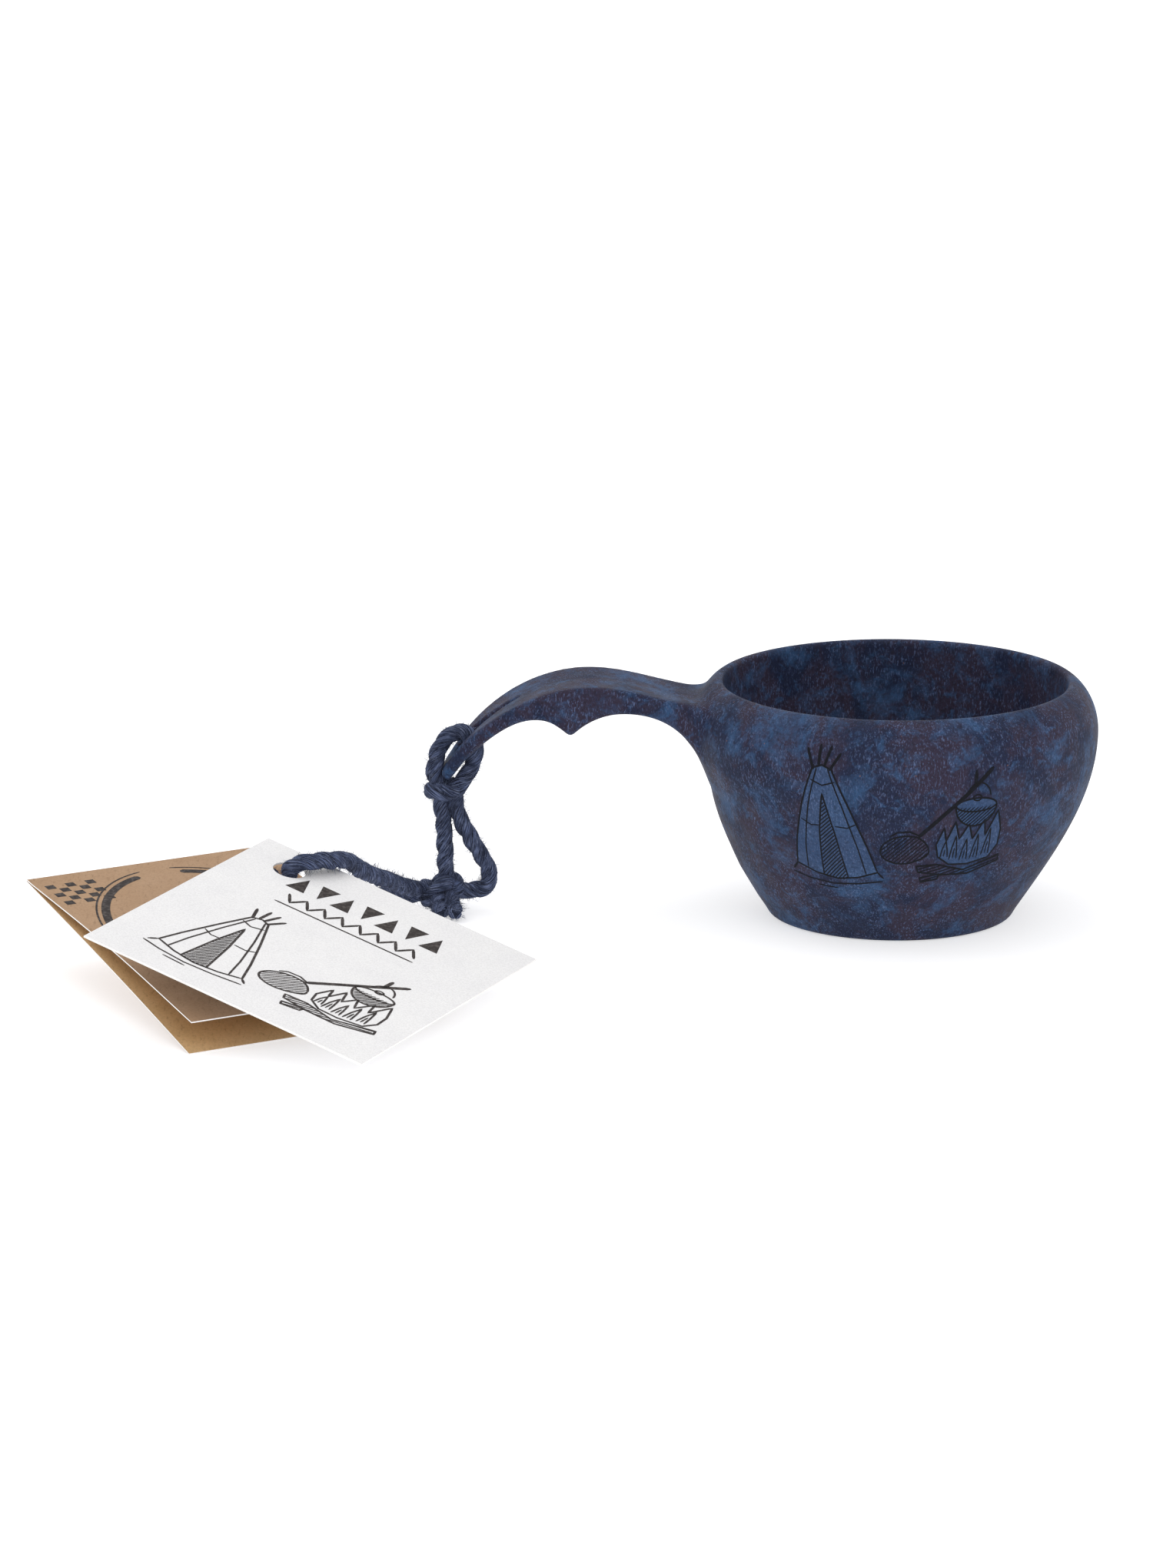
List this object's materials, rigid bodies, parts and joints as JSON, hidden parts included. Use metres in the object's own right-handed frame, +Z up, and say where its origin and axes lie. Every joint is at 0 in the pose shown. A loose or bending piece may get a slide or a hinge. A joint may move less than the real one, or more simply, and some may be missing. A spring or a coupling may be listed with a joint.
{
  "type": "kuksa drinking cup",
  "caption": "Small wood-fibre kuksa cup with a finger-notched handle, a knotted cord lanyard through the handle's tip, and a card and a folded leaflet on the cord.",
  "frame": {"origin": "centre of the bowl's flat base, on the surface that the cup stands on", "axes": "+Z up along the bowl's axis, handle along -X, the card and the leaflet lie towards -X and -Y"},
  "size_m": [0.2471, 0.1872, 0.0568],
  "materials": {
    "body_composite": "moulded wood-fibre composite, mottled dark blue",
    "cord_yarn": "three-ply twisted yarn, indigo",
    "card_stock": "uncoated white card with dark line print",
    "kraft_paper": "paper printed kraft brown on both sides"
  },
  "bodies": {
    "cup": {"bowl": "body_composite", "handle": "body_composite", "cord_eye": "cord_yarn", "cord_hitch": "cord_yarn"},
    "lanyard": {"cord_strand_straight": "cord_yarn", "cord_strand_bowed": "cord_yarn"},
    "tag_cord": {"cord_knot": "cord_yarn", "cord_tails": "cord_yarn", "cord_tag_loop": "cord_yarn"},
    "stiff_card": {"card": "card_stock"},
    "leaflet": {"leaflet_back": "kraft_paper"},
    "leaflet_front": {"leaflet_cover": "kraft_paper"}
  },
  "joints": [
    {"name": "lanyard_swing", "type": "hinge", "parent": "cup", "child": "lanyard", "pos_m": [-0.105, 0, 0.0286], "axis": [0, 1, 0], "range_deg": [-15, 15]},
    {"name": "knot_level", "type": "hinge", "parent": "lanyard", "child": "tag_cord", "pos_m": [-0.1065, 0, 0.005], "axis": [0, 1, 0], "range_deg": [-15, 15]},
    {"name": "card_turn", "type": "hinge", "parent": "tag_cord", "child": "stiff_card", "pos_m": [-0.1398, -0.052, 0.0232], "axis": [0, 0, 1], "range_deg": [-2, 20]},
    {"name": "leaflet_turn", "type": "hinge", "parent": "tag_cord", "child": "leaflet", "pos_m": [-0.1493, -0.034, 0.0172], "axis": [0, 0, 1], "range_deg": [-20, 2]},
    {"name": "leaflet_fold", "type": "hinge", "parent": "leaflet", "child": "leaflet_front", "pos_m": [-0.15562, -0.02306, 0.0202], "axis": [0.866, 0.5, 0], "range_deg": [0, 4]}
  ],
  "couplings": [
    {"joint": "knot_level", "follows": "lanyard_swing", "ratio": -1}
  ]
}
